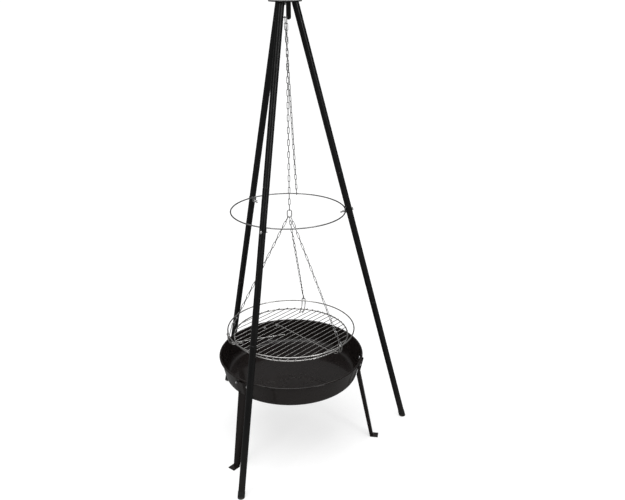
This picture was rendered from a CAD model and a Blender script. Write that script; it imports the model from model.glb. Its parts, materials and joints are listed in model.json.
import json
from math import cos, pi, radians, sin, sqrt

import bmesh
import bpy
import numpy as np
from mathutils import Matrix, Vector, noise


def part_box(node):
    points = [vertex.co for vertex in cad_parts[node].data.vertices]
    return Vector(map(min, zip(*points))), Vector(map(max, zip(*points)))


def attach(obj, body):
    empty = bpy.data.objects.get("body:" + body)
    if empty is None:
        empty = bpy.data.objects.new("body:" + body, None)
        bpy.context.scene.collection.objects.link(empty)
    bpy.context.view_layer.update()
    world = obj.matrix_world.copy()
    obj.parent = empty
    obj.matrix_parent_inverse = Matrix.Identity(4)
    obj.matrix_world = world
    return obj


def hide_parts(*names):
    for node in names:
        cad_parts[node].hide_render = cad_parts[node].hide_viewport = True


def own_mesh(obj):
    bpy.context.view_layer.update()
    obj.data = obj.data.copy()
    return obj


# The looks of the campfire tripod grate, in metres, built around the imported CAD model.
# CAD nodes whose shape is right keep it and get a procedural material. Chains,
# fasteners and weld beads are new pieces, placed from the CAD nodes' own vertices.

MM = 0.001
UP = Vector((0, 0, 1))

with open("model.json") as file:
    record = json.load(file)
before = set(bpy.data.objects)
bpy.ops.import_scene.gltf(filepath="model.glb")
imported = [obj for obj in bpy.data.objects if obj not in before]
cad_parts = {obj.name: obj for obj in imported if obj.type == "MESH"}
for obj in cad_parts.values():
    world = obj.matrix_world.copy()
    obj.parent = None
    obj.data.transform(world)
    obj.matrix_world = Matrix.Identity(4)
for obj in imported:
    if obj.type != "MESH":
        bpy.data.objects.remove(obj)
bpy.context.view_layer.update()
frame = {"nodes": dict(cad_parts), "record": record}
nodes = frame["nodes"]
body_of_node = {n: body for body, members in frame["record"]["behaviour"]["bodies"].items() for n in members}
slot_of_node = {part["node"]: part["material_slot"] for part in frame["record"]["subparts"]}


# ------------------------------------------------------------- materials


class Recipe:
    """A material's node tree, with short calls for the nodes that it is made of."""

    def __init__(self, name):
        self.material = bpy.data.materials.new(name)
        self.material.use_nodes = True
        self.tree = self.material.node_tree
        self.tree.nodes.clear()
        self.shader = self.tree.nodes.new("ShaderNodeBsdfPrincipled")
        output = self.tree.nodes.new("ShaderNodeOutputMaterial")
        self.tree.links.new(self.shader.outputs[0], output.inputs[0])
        self.place = self.tree.nodes.new("ShaderNodeTexCoord").outputs["Object"]

    def put(self, socket, value):
        if isinstance(value, bpy.types.NodeSocket):
            self.tree.links.new(value, socket)
        else:
            socket.default_value = value

    def set(self, **values):
        """Principled inputs by name, with _ for a space."""
        for name, value in values.items():
            self.put(self.shader.inputs[name.replace("_", " ")], value)

    def noise(self, scale, detail=3, rough=0.5, stretch=(1, 1, 1)):
        place = self.place
        if stretch != (1, 1, 1):
            mapping = self.tree.nodes.new("ShaderNodeMapping")
            mapping.inputs["Scale"].default_value = stretch
            self.put(mapping.inputs[0], place)
            place = mapping.outputs[0]
        node = self.tree.nodes.new("ShaderNodeTexNoise")
        self.put(node.inputs["Vector"], place)
        self.put(node.inputs["Scale"], scale)
        self.put(node.inputs["Detail"], detail)
        self.put(node.inputs["Roughness"], rough)
        return node.outputs["Fac"]

    def cells(self, scale):
        node = self.tree.nodes.new("ShaderNodeTexVoronoi")
        self.put(node.inputs["Vector"], self.place)
        self.put(node.inputs["Scale"], scale)
        return node.outputs["Distance"]

    def span(self, value, low, high, start=0.0, end=1.0):
        """value taken from low..high to start..end, and held at the ends."""
        node = self.tree.nodes.new("ShaderNodeMapRange")
        self.put(node.inputs[0], value)
        for place, number in enumerate((low, high, start, end), start=1):
            self.put(node.inputs[place], number)
        return node.outputs[0]

    def math(self, operation, a, b):
        node = self.tree.nodes.new("ShaderNodeMath")
        node.operation = operation
        self.put(node.inputs[0], a)
        self.put(node.inputs[1], b)
        return node.outputs[0]

    def tint(self, share, a, b):
        """Colour a at share 0 and b at share 1."""
        node = self.tree.nodes.new("ShaderNodeMix")
        node.data_type = "RGBA"
        self.put(node.inputs[0], share)
        self.put(node.inputs[6], (*a, 1) if isinstance(a, tuple) else a)
        self.put(node.inputs[7], (*b, 1) if isinstance(b, tuple) else b)
        return node.outputs[2]

    def upright_part(self, vector):
        node = self.tree.nodes.new("ShaderNodeSeparateXYZ")
        self.put(node.inputs[0], vector)
        return node.outputs["Z"]

    def height(self):
        """Height above the ground, in metres."""
        return self.upright_part(self.place)

    def facing_up(self):
        """1 on a surface that faces up, 0 on an upright one and -1 on one that faces down."""
        return self.upright_part(self.tree.nodes.new("ShaderNodeNewGeometry").outputs["Normal"])

    def crevice(self, distance):
        """1 in the open and 0 where surfaces close in within distance."""
        node = self.tree.nodes.new("ShaderNodeAmbientOcclusion")
        node.samples = 4
        self.put(node.inputs["Distance"], distance)
        return node.outputs["AO"]

    def edge(self, radius):
        """1 on sharp edges and 0 on flat surfaces."""
        bevel = self.tree.nodes.new("ShaderNodeBevel")
        bevel.samples = 4
        self.put(bevel.inputs["Radius"], radius)
        flat = self.tree.nodes.new("ShaderNodeNewGeometry").outputs["Normal"]
        dot = self.tree.nodes.new("ShaderNodeVectorMath")
        dot.operation = "DOT_PRODUCT"
        self.put(dot.inputs[0], bevel.outputs[0])
        self.put(dot.inputs[1], flat)
        return self.span(dot.outputs["Value"], 0.99, 0.85)

    def bump(self, height, distance, strength=1.0, under=None):
        node = self.tree.nodes.new("ShaderNodeBump")
        self.put(node.inputs["Height"], height)
        self.put(node.inputs["Distance"], distance)
        self.put(node.inputs["Strength"], strength)
        if under is not None:
            self.put(node.inputs["Normal"], under)
        return node.outputs[0]


def black_coating():
    """Satin black powder coat on steel: fine orange peel, dull patches, dust low down and
    a pale film of it on what lies level, and steel that shows through on worn edges."""
    coat = Recipe("black_powder_coat")
    clouds = coat.noise(9, 5, 0.6)
    scuffs = coat.noise(60, 6, 0.7, stretch=(1, 1, 0.12))
    worn = coat.math("MULTIPLY", coat.edge(0.5 * MM), coat.span(coat.noise(120, 4), 0.40, 0.56))
    dust = coat.math("MULTIPLY", coat.span(coat.height(), 0.22, 0.0, 0, 0.22), clouds)
    black = coat.tint(coat.span(clouds, 0.3, 0.7), (0.0036, 0.0036, 0.0038), (0.0060, 0.0059, 0.0058))
    dusty = coat.tint(dust, black, (0.11, 0.10, 0.085))
    coat.set(Base_Color=coat.tint(worn, dusty, (0.30, 0.30, 0.31)), Metallic=coat.span(worn, 0.2, 0.8))
    rough = coat.math("ADD", coat.span(scuffs, 0.35, 0.7, 0.24, 0.38), coat.span(clouds, 0.4, 0.7, 0, 0.06))
    coat.set(Roughness=coat.math("ADD", rough, dust), Specular_IOR_Level=0.42)
    coat.set(Sheen_Weight=coat.span(coat.facing_up(), 0.90, 0.98, 0, 0.8), Sheen_Roughness=0.25)
    peel = coat.bump(coat.noise(900, 2), 0.05 * MM, 0.5)
    coat.set(Normal=coat.bump(coat.cells(2600), 0.02 * MM, 0.4, under=peel))
    return coat.material


def cap_plastic():
    """Moulded matt plastic: spark-eroded grain, and pale scuffs where it meets the ground."""
    plastic = Recipe("cap_plastic")
    scuffed = plastic.math(
        "MULTIPLY",
        plastic.span(plastic.height(), 0.012, 0.0),
        plastic.span(plastic.noise(220, 5, 0.7), 0.42, 0.62),
    )
    tone = plastic.tint(plastic.noise(40), (0.009, 0.009, 0.0095), (0.017, 0.0165, 0.016))
    plastic.set(Base_Color=plastic.tint(scuffed, tone, (0.13, 0.12, 0.105)))
    plastic.set(Roughness=plastic.span(plastic.noise(500, 2), 0.3, 0.7, 0.48, 0.66))
    plastic.set(Normal=plastic.bump(plastic.noise(2200, 2), 0.06 * MM, 0.6))
    return plastic.material


def plated_wire(name, clean, dull, rough_low, rough_high, grime=0.55, metal=1.0):
    """Plated steel: drawing lines, clouding, dull spots and grime where wires meet. With
    less metal it is a matt plating, which scatters more of the light."""
    wire = Recipe(name)
    clouds = wire.noise(35, 5, 0.6)
    spots = wire.span(wire.noise(420, 3, 0.6), 0.60, 0.72)
    tone = wire.tint(wire.span(clouds, 0.35, 0.65), clean, dull)
    tone = wire.tint(spots, tone, tuple(0.45 * part for part in dull))
    open_air = wire.span(wire.crevice(4 * MM), 0.1, 0.75, grime, 0.0)
    wire.set(Base_Color=wire.tint(open_air, tone, (0.055, 0.050, 0.045)), Metallic=metal)
    rough = wire.span(wire.noise(180, 4, 0.65), 0.3, 0.7, rough_low, rough_high)
    wire.set(Roughness=wire.math("ADD", rough, wire.math("MULTIPLY", open_air, 0.35)))
    lines = wire.bump(wire.noise(1500, 2, 0.5, stretch=(1, 1, 0.2)), 0.02 * MM, 0.35)
    wire.set(Normal=wire.bump(wire.noise(260, 3), 0.06 * MM, 0.3, under=lines))
    return wire.material


def enamel():
    """Brown-black vitreous enamel: a clear glossy skin over a warm dark ground, with
    fine pits, slow waves, pale specks and a thin burnt edge. Ash makes the outside paler."""
    glaze = Recipe("brown_black_enamel")
    clouds = glaze.noise(7, 5, 0.55)
    specks = glaze.span(glaze.noise(1300, 1), 0.70, 0.78, 0, 0.25)
    tone = glaze.tint(glaze.span(clouds, 0.3, 0.7), (0.0088, 0.0066, 0.0062), (0.0132, 0.0098, 0.0090))
    outside = glaze.span(glaze.facing_up(), 0.0, -0.12)
    tone = glaze.tint(outside, tone, glaze.tint(clouds, (0.022, 0.0185, 0.0175), (0.030, 0.026, 0.0245)))
    tone = glaze.tint(specks, tone, (0.09, 0.08, 0.075))
    burnt = glaze.math("MULTIPLY", glaze.edge(0.6 * MM), glaze.span(glaze.noise(90, 4), 0.45, 0.65))
    glaze.set(Base_Color=glaze.tint(burnt, tone, (0.040, 0.022, 0.015)))
    film = glaze.math("MULTIPLY", glaze.span(glaze.facing_up(), 0.6, 1.0), glaze.span(clouds, 0.4, 0.7))
    glaze.set(Roughness=glaze.span(glaze.noise(16, 4), 0.3, 0.7, 0.22, 0.34))
    glaze.set(Coat_Weight=0.55, Coat_IOR=1.5, Specular_IOR_Level=0.15)
    glaze.set(Coat_Roughness=glaze.math("ADD", 0.05, glaze.math("MULTIPLY", film, 0.10)))
    waves = glaze.bump(glaze.noise(38, 2), 0.35 * MM, 0.35)
    peel = glaze.bump(glaze.noise(420, 2), 0.05 * MM, 0.35, under=waves)
    glaze.set(Normal=glaze.bump(glaze.span(glaze.cells(900), 0.0, 0.12), 0.03 * MM, 0.3, under=peel))
    glaze.set(Coat_Normal=peel)
    return glaze.material


materials = {
    "black_coated_steel": black_coating(),
    "foot_cap_plastic": cap_plastic(),
    "plated_ring": plated_wire("plated_ring", (0.46, 0.46, 0.46), (0.33, 0.33, 0.33), 0.24, 0.40),
    "zinc_chain": plated_wire("zinc_chain", (0.68, 0.68, 0.68), (0.52, 0.52, 0.52), 0.20, 0.36, 0.7),
    "zinc_hardware": plated_wire("zinc_hardware", (0.72, 0.72, 0.72), (0.54, 0.54, 0.53), 0.22, 0.40),
    "chromed_wire": plated_wire("chromed_wire", (0.68, 0.67, 0.655), (0.54, 0.53, 0.515), 0.16, 0.30),
    "enamelled_steel": enamel(),
    "bright_bolts": plated_wire(
        "bright_bolts", (0.82, 0.82, 0.83), (0.62, 0.62, 0.62), 0.16, 0.30, metal=0.5
    ),
}

for name, node in nodes.items():
    node.data.materials.clear()
    node.data.materials.append(materials[slot_of_node[name]])


# --------------------------------------- reading CAD solids, making pieces

SAME_POINT = 0.002 * MM
SHARP_ANGLE = radians(38)


def solids(name):
    """The vertices of each separate solid of a CAD node."""
    mesh = bmesh.new()
    mesh.from_mesh(nodes[name].data)
    bmesh.ops.remove_doubles(mesh, verts=mesh.verts, dist=SAME_POINT)
    groups, seen = [], set()
    for first in mesh.verts:
        if first in seen:
            continue
        seen.add(first)
        group, ends = [], [first]
        while ends:
            vert = ends.pop()
            group.append(vert.co.copy())
            for edge in vert.link_edges:
                other = edge.other_vert(vert)
                if other not in seen:
                    seen.add(other)
                    ends.append(other)
        groups.append(np.array(group))
    mesh.free()
    return groups


def solid_frame(points):
    """Middle, axes from the longest to the shortest, and the size along each axis."""
    middle = (points.max(0) + points.min(0)) / 2
    axes = np.linalg.eigh(np.cov((points - middle).T))[1][:, ::-1].T
    along = (points - middle) @ axes.T
    low, high = along.min(0), along.max(0)
    middle = middle + ((low + high) / 2) @ axes
    return Vector(middle), [Vector(axis) for axis in axes], high - low


def piece(name, mesh, body, slot, *replaced):
    """A new object from a mesh under construction: it rides on a body, and may stand for
    CAD nodes."""
    data = bpy.data.meshes.new(name)
    bmesh.ops.recalc_face_normals(mesh, faces=mesh.faces)
    mesh.to_mesh(data)
    mesh.free()
    made = bpy.data.objects.new(name, data)
    bpy.context.scene.collection.objects.link(made)
    data.shade_smooth()
    data.set_sharp_from_angle(angle=SHARP_ANGLE)
    data.materials.append(materials[slot])
    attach(made, body)
    if replaced:
        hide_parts(*replaced)
    return made


# ---------------------------------------------------------------- chains

WIRE_SIDES = 14
BEND_STEPS = 14
STRAIGHT_STEPS = 6
WELD_SWELL = 1.16  # a link's weld, as a share of the wire


def add_loop(mesh, middle, along, width, wire, bend, length):
    """Closed oval of round wire: bend and length are those of the centre line. A small
    bead on one straight side is where the link was butt-welded."""
    half = length / 2 - bend
    normal = along.cross(width)
    path = []
    for side in (1, -1):
        for step in range(BEND_STEPS + 1):
            turn = pi * step / BEND_STEPS - pi / 2
            out = along * cos(turn) * side + width * sin(turn) * side
            path.append((middle + along * half * side + out * bend, out, False))
        for step in range(1, STRAIGHT_STEPS):
            share = step / STRAIGHT_STEPS
            start = half * side - 2 * half * side * share
            bead = side == 1 and step == STRAIGHT_STEPS // 2
            path.append((middle + along * start + width * bend * side, width * side, bead))
    rings = []
    for point, out, bead in path:
        radius = wire / 2 * (WELD_SWELL if bead else 1)
        ring = []
        for k in range(WIRE_SIDES):
            turn = 2 * pi * k / WIRE_SIDES
            ring.append(mesh.verts.new(point + (out * cos(turn) + normal * sin(turn)) * radius))
        rings.append(ring)
    for one, two in zip(rings, rings[1:] + rings[:1]):
        for k in range(WIRE_SIDES):
            after = (k + 1) % WIRE_SIDES
            mesh.faces.new((one[k], one[after], two[after], two[k]))


def chain_piece(name, node):
    """Chain with a link in the place of each solid of a CAD node."""
    mesh = bmesh.new()
    for points in solids(node):
        middle, (along, width, _), (length, breadth, wire) = solid_frame(points)
        add_loop(mesh, middle, along, width, wire, (breadth - wire) / 2, length - wire)
    return piece(name, mesh, body_of_node[node], slot_of_node[node], node)


for node in ("top_link", "second_link", "tail_chain", "joint_ring"):
    chain_piece(f"welded_{node}", node)
for side in ("right", "rear", "left"):
    chain_piece(f"welded_{side}_harness_chain", f"{side}_harness_chain")

# As the grate is lifted, the hanging chain draws together towards its top link.
hanging = chain_piece("welded_main_chain", "main_chain")
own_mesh(hanging)


# ------------------------------------------------------------- fasteners

TURN_STEPS = 48
THREAD_LEVELS = 6  # per turn of a thread
HEX_FLAT = 0.94  # radius of a hexagon's flat face, as a share of half its width across
CHAMFER_SLOPE = 0.577  # tangent of 30 degrees
THREAD_DEPTH = 0.55  # as a share of the pitch
POINT_DEPTH = 0.9  # chamfer at a bolt's end, as a share of the pitch


def add_turned(mesh, origin, axis, side, levels, closed=False):
    """Skin through levels, each a function that gives a radius and a height at an angle.
    A closed skin joins its last level to its first, and an open one has flat ends."""
    across = axis.cross(side)
    rings = []
    for level in levels:
        ring = []
        for step in range(TURN_STEPS):
            turn = 2 * pi * step / TURN_STEPS
            radius, height = level(turn)
            out = side * cos(turn) + across * sin(turn)
            ring.append(mesh.verts.new(origin + out * radius + axis * height))
        rings.append(ring)
    for low, high in zip(rings, rings[1:] + (rings[:1] if closed else [])):
        for k in range(TURN_STEPS):
            mesh.faces.new((low[k - 1], low[k], high[k], high[k - 1]))
    if not closed:
        mesh.faces.new(rings[0])
        mesh.faces.new(rings[-1])


def circle(radius, height):
    return lambda turn: (radius, height)


def hexagon(corner, face, way):
    """Hexagon whose corners are cut back by a 30 degree cone: way is 1 above the lower
    face, -1 below the upper one, and 0 for plain corners."""

    def level(turn):
        flat = corner * cos(pi / 6)
        reach = flat / cos(turn % (pi / 3) - pi / 6)
        return reach, face + way * (reach - HEX_FLAT * flat) * CHAMFER_SLOPE

    return level


def cross_recess(length, width, height):
    return lambda turn: (width / max(abs(sin(2 * turn)), width / length), height)


def thread(radius, pitch, high, low):
    """Levels of a V thread, from high down to low."""
    count = round((high - low) / pitch * THREAD_LEVELS)
    for step in range(count + 1):
        height = high + (low - high) * step / count

        def level(turn, height=height):
            wave = abs(2 * ((height / pitch - turn / (2 * pi)) % 1) - 1)
            return radius - THREAD_DEPTH * pitch * wave, height

        yield level


def bolt_frame(points):
    """Top of the head, axis towards it, head height, head and shank radius, length."""
    middle, (axis, *_), size = solid_frame(points)
    offset = points - np.array(middle)
    along = offset @ np.array(axis)
    away = np.linalg.norm(offset - np.outer(along, axis), axis=1)
    in_head = away > 0.7 * away.max()
    if along[in_head].mean() < 0:
        axis, along = -axis, -along
    head_height = along.max() - along[in_head].min()
    shank = away[along < along.max() - head_height - 1 * MM].max()
    return middle + axis * (size[0] / 2), axis, head_height, away.max(), shank, size[0]


def level_side(axis):
    """Level direction square to an axis."""
    across = UP.cross(axis)
    return across.normalized() if across.length > 0.1 else Vector((1, 0, 0))


def hex_bolts(name, node, pitch, smooth_length):
    """Hexagon-headed bolts with a rolled thread, in the places of the CAD ones."""
    mesh = bmesh.new()
    for points in solids(node):
        top, axis, head, corner, shank, length = bolt_frame(points)
        flat = corner * cos(pi / 6)
        levels = [
            circle(HEX_FLAT * flat * 0.6, 0),
            circle(HEX_FLAT * flat, 0),
            hexagon(corner, 0, -1),
            hexagon(corner, -head, 0),
            circle(shank + 0.4 * MM, -head),
            circle(shank, -head - 0.4 * MM),
            *thread(shank, pitch, -head - smooth_length, -length + 1 * MM),
            circle(shank - POINT_DEPTH * pitch, -length),
        ]
        add_turned(mesh, top, axis, level_side(axis), levels)
    return piece(name, mesh, body_of_node[node], slot_of_node[node], node)


def pan_head_bolts(name, node, pitch):
    """Pan-headed screws with a cross recess."""
    mesh = bmesh.new()
    for points in solids(node):
        top, axis, head, radius, shank, length = bolt_frame(points)
        levels = [
            cross_recess(0.36 * radius, 0.13 * radius, -0.62 * head),
            cross_recess(0.48 * radius, 0.17 * radius, -0.02 * head),
            circle(0.60 * radius, 0),
            circle(0.78 * radius, -0.12 * head),
            circle(0.92 * radius, -0.34 * head),
            circle(0.99 * radius, -0.66 * head),
            circle(radius, -0.92 * head),
            circle(0.98 * radius, -head),
            circle(shank, -head),
            *thread(shank, pitch, -head - 1 * MM, -length + 1 * MM),
            circle(shank - POINT_DEPTH * pitch, -length),
        ]
        add_turned(mesh, top, axis, level_side(axis), levels)
    return piece(name, mesh, body_of_node[node], slot_of_node[node], node)


def hex_nuts(name, node, bolts_node):
    """Chamfered nuts, each square to the nearest bolt."""
    bolts = [bolt_frame(points) for points in solids(bolts_node)]
    mesh = bmesh.new()
    for points in solids(node):
        middle = Vector(points.mean(0))
        axis = min(bolts, key=lambda bolt: (bolt[0] - middle).cross(bolt[1]).length)[1]
        offset = points - np.array(middle)
        along = offset @ np.array(axis)
        away = np.linalg.norm(offset - np.outer(along, axis), axis=1)
        half, corner, bore = np.ptp(along) / 2, away.max(), away.min()
        flat = corner * cos(pi / 6)
        levels = [
            circle(bore + 0.5 * MM, -half),
            circle(HEX_FLAT * flat, -half),
            hexagon(corner, -half, 1),
            hexagon(corner, half, -1),
            circle(HEX_FLAT * flat, half),
            circle(bore + 0.5 * MM, half),
            circle(bore, half - 0.5 * MM),
            circle(bore, 0.5 * MM - half),
        ]
        add_turned(mesh, middle, axis, level_side(axis), levels, closed=True)
    return piece(name, mesh, body_of_node[node], slot_of_node[node], node)


WING_RINGS = 12
WING_SIDES = 16


def add_wing(mesh, seat, axis, out, span, height):
    """One cast wing: an oval bar that rises out of the hub, and widens to a round lobe."""
    start = out * (0.30 * span) + axis * (0.22 * height)
    finish = out * (0.86 * span) + axis * (0.84 * height)
    along = (finish - start).normalized()
    side = out.cross(axis)
    broad = along.cross(side)
    rings = []
    for step in range(WING_RINGS + 1):
        share = step / WING_RINGS
        bow = broad * (0.05 * span * sin(pi * share))
        wide = span * (0.17 + 0.10 * share) * sqrt(1 - 0.985 * share**5)
        thick = span * (0.13 - 0.03 * share) * sqrt(1 - 0.95 * share**8)
        ring = []
        for k in range(WING_SIDES):
            turn = 2 * pi * k / WING_SIDES
            offset = broad * (wide * cos(turn)) + side * (thick * sin(turn))
            ring.append(mesh.verts.new(seat + start + (finish - start) * share + bow + offset))
        rings.append(ring)
    for low, high in zip(rings, rings[1:]):
        for k in range(WING_SIDES):
            mesh.faces.new((low[k - 1], low[k], high[k], high[k - 1]))
    mesh.faces.new(rings[0])
    mesh.faces.new(rings[-1])


def wing_nut(name, node, bolts_node):
    """Cast wing nut: a turned hub with a rounded shoulder, and two wings."""
    points = solids(node)[0]
    middle = Vector(points.mean(0))
    bolts = [bolt_frame(bolt) for bolt in solids(bolts_node)]
    top, head_axis, _, _, shank, _ = min(bolts, key=lambda bolt: (bolt[0] - middle).cross(bolt[1]).length)
    axis, side = -head_axis, level_side(head_axis)
    offset = points - np.array(top)
    along = offset @ np.array(axis)
    height, span = np.ptp(along), np.ptp(offset @ np.array(side)) / 2
    seat = top + axis * along.min()
    hub, bore, rise = 0.45 * span, shank + 0.05 * MM, 0.66 * height
    profile = (
        (bore, 0.02), (0.94 * hub, 0), (hub, 0.06), (hub, 0.42), (0.93 * hub, 0.68),
        (0.80 * hub, 0.90), (0.70 * hub, 0.98), (bore + 0.4 * MM, 1), (bore, 0.95),
    )
    mesh = bmesh.new()
    levels = [circle(radius, share * rise) for radius, share in profile]
    add_turned(mesh, seat, axis, side, levels, closed=True)
    for out in (side, -side):
        add_wing(mesh, seat, axis, out, span, height)
    return piece(name, mesh, body_of_node[node], slot_of_node[node], node)


hex_bolts("threaded_ring_bolts", "ring_bolts", 1 * MM, 8 * MM)
hex_bolts("threaded_head_bolt", "head_bolt", 0.8 * MM, 1 * MM)
hex_nuts("chamfered_head_nut", "head_nut", "head_bolt")
pan_head_bolts("pan_head_bowl_bolts", "bowl_bolts", 1 * MM)
hex_nuts("chamfered_bowl_nuts", "bowl_nuts", "bowl_bolts")
for side in ("right", "rear", "front"):
    wing_nut(f"cast_{side}_wing_nut", f"{side}_wing_nut", "ring_bolts")


# ----------------------------------------------------------------- welds

BEAD_RINGS = 8
BEAD_SIDES = 12
RING_WIRE = 5 * MM


def add_bead(mesh, middle, along, up, sizes):
    """Nugget of weld metal: an uneven ellipsoid, half sizes along, across and up."""
    across = up.cross(along)
    rings = []
    for ring in range(BEAD_RINGS + 1):
        tilt = pi * (ring + 0.12) / (BEAD_RINGS + 0.24)
        loop = []
        for k in range(BEAD_SIDES):
            turn = 2 * pi * k / BEAD_SIDES
            out = (
                along * (sizes[0] * cos(tilt))
                + across * (sizes[1] * sin(tilt) * cos(turn))
                + up * (sizes[2] * sin(tilt) * sin(turn))
            )
            lump = 1 + 0.16 * noise.noise((middle + out) / (1.6 * MM))
            loop.append(mesh.verts.new(middle + out * lump))
        rings.append(loop)
    for low, high in zip(rings, rings[1:]):
        for k in range(BEAD_SIDES):
            mesh.faces.new((low[k - 1], low[k], high[k], high[k - 1]))
    mesh.faces.new(rings[0])
    mesh.faces.new(rings[-1])


def hoop(node):
    """Middle, centre-line radius and wire radius of a hoop of wire."""
    low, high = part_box(node)
    wire = (high.z - low.z) / 2
    return (low + high) / 2, (high.x - low.x) / 2 - wire, wire


def weld_bars():
    """A spot weld at each bar end, where it lies on the grate ring."""
    middle, radius, wire = hoop("grate_ring")
    mesh = bmesh.new()
    for points in solids("grate_bars"):
        centre, (along, *_), size = solid_frame(points)
        aside = Vector((centre.x - middle.x, centre.y - middle.y)).length
        reach = sqrt(radius**2 - aside**2)
        for way in (1, -1):
            touch = centre + along * (reach * way) - UP * (size[2] / 2)
            add_bead(mesh, touch, along, UP, (2.7 * MM, 2.3 * MM, 1.5 * MM))
    return piece("bar_welds", mesh, body_of_node["grate_bars"], "chromed_wire")


def weld_arms():
    """Nuggets where each arm's legs cross under the grate ring and pass the guard ring."""
    grate, grate_radius, _ = hoop("grate_ring")
    guard, guard_radius, _ = hoop("guard_ring")
    mesh = bmesh.new()
    for arm in ("right", "rear", "left"):
        points = solids(f"{arm}_support_arm")[0]
        near_guard = points[abs(points[:, 2] - guard.z) < 9 * MM]
        middle = near_guard.mean(0)
        out = Vector((middle[0] - guard.x, middle[1] - guard.y, 0)).normalized()
        side = UP.cross(out)
        aside = (near_guard - middle) @ np.array(side)
        for leg in (near_guard[aside > 0], near_guard[aside < 0]):
            upright = Vector(leg.mean(0))
            level_out = Vector((upright.x - guard.x, upright.y - guard.y, 0))
            gap_middle = (level_out.length + guard_radius) / 2
            touch = guard + level_out.normalized() * gap_middle
            add_bead(mesh, touch, UP, level_out.normalized(), (2.6 * MM, 2.6 * MM, 1.6 * MM))
            inward = Vector((upright.x, upright.y, grate.z)) - grate
            along = inward.normalized()
            under = grate + along * grate_radius - UP * (2.3 * MM)
            add_bead(mesh, under, along, UP, (2.8 * MM, 2.4 * MM, 1.5 * MM))
    return piece("arm_welds", mesh, body_of_node["grate_ring"], "chromed_wire")


def weld_ears():
    """Two fillets where each drilled ear meets the stabiliser ring."""
    low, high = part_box("stabiliser_ring")
    ring_height = UP * (high.z - RING_WIRE / 2)
    radius = (high.x - low.x - RING_WIRE) / 2
    mesh = bmesh.new()
    for points in solids("ring_bolts"):
        axis = bolt_frame(points)[1]
        out = Vector((axis.x, axis.y, 0)).normalized()
        side = UP.cross(out)
        for way in (1, -1):
            touch = ring_height + out * (radius + 1.2 * MM) + side * (7.6 * MM * way)
            add_bead(mesh, touch, side, UP, (2.4 * MM, 1.8 * MM, 2.4 * MM))
    return piece("ear_welds", mesh, body_of_node["stabiliser_ring"], "plated_ring")


weld_bars()
weld_arms()
weld_ears()


# ----------------------------------------------------------------- stage

FLOOR_SIZE = 160
PAPER_TONES = (0.50, 0.52)  # to the camera
PAPER_GLOW = 0.62
PAPER_TO_OBJECT = 0.36
PAPER_IN_REFLECTIONS = 0.18
ROOM_LIGHT = 0.55
ROOM_TONES = ((0.35, 0.08), (1.0, 0.70))  # place from level to overhead, and tone there


def grey(tone):
    return (tone, tone, tone)


def make_floor():
    """Pale paper: near white where the camera sees it, darker to the light that reaches
    the object, and darkest in reflections, as in a studio with black flags around the set."""
    bpy.ops.mesh.primitive_plane_add(size=FLOOR_SIZE)
    paper = bpy.context.object
    paper.name = "floor"
    pale = Recipe("pale_floor")
    path = pale.tree.nodes.new("ShaderNodeLightPath").outputs
    seen = path["Is Camera Ray"]
    low, high = PAPER_TONES
    tone = pale.tint(pale.noise(0.7), grey(low), grey(high))
    unseen = pale.tint(path["Is Glossy Ray"], grey(PAPER_TO_OBJECT), grey(PAPER_IN_REFLECTIONS))
    pale.set(Base_Color=pale.tint(seen, unseen, tone), Roughness=0.9, Specular_IOR_Level=0.1)
    pale.set(Emission_Color=(1, 1, 1, 1), Emission_Strength=pale.math("MULTIPLY", seen, PAPER_GLOW))
    paper.data.materials.append(pale.material)


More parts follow.
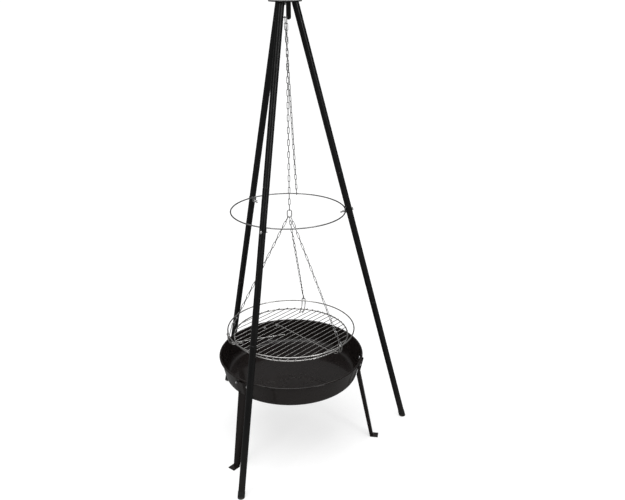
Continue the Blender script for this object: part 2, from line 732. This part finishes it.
def make_world():
    """Even light for what is matt, a dark room under a pale ceiling in reflections, and
    white behind the object."""
    world = bpy.data.worlds.new("studio")
    world.use_nodes = True
    world.cycles.sampling_method = "NONE"
    bpy.context.scene.world = world
    tree = world.node_tree
    split = tree.nodes.new("ShaderNodeSeparateXYZ")
    tree.links.new(tree.nodes.new("ShaderNodeTexCoord").outputs["Generated"], split.inputs[0])
    room = tree.nodes.new("ShaderNodeValToRGB")
    for stop, (place, tone) in zip((0, 1), ROOM_TONES):
        room.color_ramp.elements[stop].position = place
        room.color_ramp.elements[stop].color = (*grey(tone), 1)
    tree.links.new(split.outputs["Z"], room.inputs[0])
    path = tree.nodes.new("ShaderNodeLightPath").outputs
    mirrored, seen = tree.nodes.new("ShaderNodeMix"), tree.nodes.new("ShaderNodeMix")
    mirrored.data_type = seen.data_type = "RGBA"
    tree.links.new(path["Is Glossy Ray"], mirrored.inputs[0])
    mirrored.inputs[6].default_value = (*grey(ROOM_LIGHT), 1)
    tree.links.new(room.outputs[0], mirrored.inputs[7])
    tree.links.new(path["Is Camera Ray"], seen.inputs[0])
    tree.links.new(mirrored.outputs[2], seen.inputs[6])
    seen.inputs[7].default_value = (*grey(1), 1)
    tree.links.new(seen.outputs[2], tree.nodes["Background"].inputs[0])


def add_lamp(data, place, target):
    lamp = bpy.data.objects.new(data.name, data)
    lamp.location = place
    lamp.rotation_mode = "QUATERNION"
    lamp.rotation_quaternion = (Vector(target) - Vector(place)).to_track_quat("-Z", "Y")
    bpy.context.scene.collection.objects.link(lamp)


def add_softbox(name, place, target, size, power):
    data = bpy.data.lights.new(name, "AREA")
    data.shape = "RECTANGLE"
    data.size, data.size_y = size
    data.energy = power
    add_lamp(data, place, target)


def add_broad_light():
    """Overhead light, the same all over the floor, with wide soft shadows."""
    data = bpy.data.lights.new("overhead", "SUN")
    data.energy = 1.1
    data.angle = radians(50)
    add_lamp(data, (-0.5, -0.6, 3), (0, 0, 0))


def make_camera():
    """Eye level a little above the head plate, 2.6 m from the middle."""
    distance, height = 2.601, 1.777
    round_object, heading, dip, roll = radians(-97.313), radians(80.687), 0.3678, 0.002
    forward = Vector((cos(heading) * cos(dip), sin(heading) * cos(dip), -sin(dip)))
    level = Vector((sin(heading), -cos(heading), 0))
    down = forward.cross(level)
    right = level * cos(roll) + down * sin(roll)
    turned_down = down * cos(roll) - level * sin(roll)
    data = bpy.data.cameras.new("camera")
    data.sensor_width = 36
    data.lens = 42.85
    data.shift_x = -0.0006
    camera = bpy.data.objects.new("camera", data)
    turn = Matrix((right, -turned_down, -forward)).transposed().to_4x4()
    stand = Vector((distance * cos(round_object), distance * sin(round_object), height))
    camera.matrix_world = Matrix.Translation(stand) @ turn
    bpy.context.scene.collection.objects.link(camera)
    bpy.context.scene.camera = camera


make_floor()
make_world()
add_broad_light()
add_softbox("key", (-2.4, -2.4, 2.6), (0, 0, 0.8), (0.9, 2.4), 15)
add_softbox("fill", (1.9, -2.7, 2.2), (0, 0, 0.8), (0.6, 2.4), 20)
add_softbox("top", (1.4, 1.6, 4.2), (0, 0, 0.6), (1.6, 1.2), 16)
make_camera()
bpy.context.scene.view_settings.view_transform = "Standard"
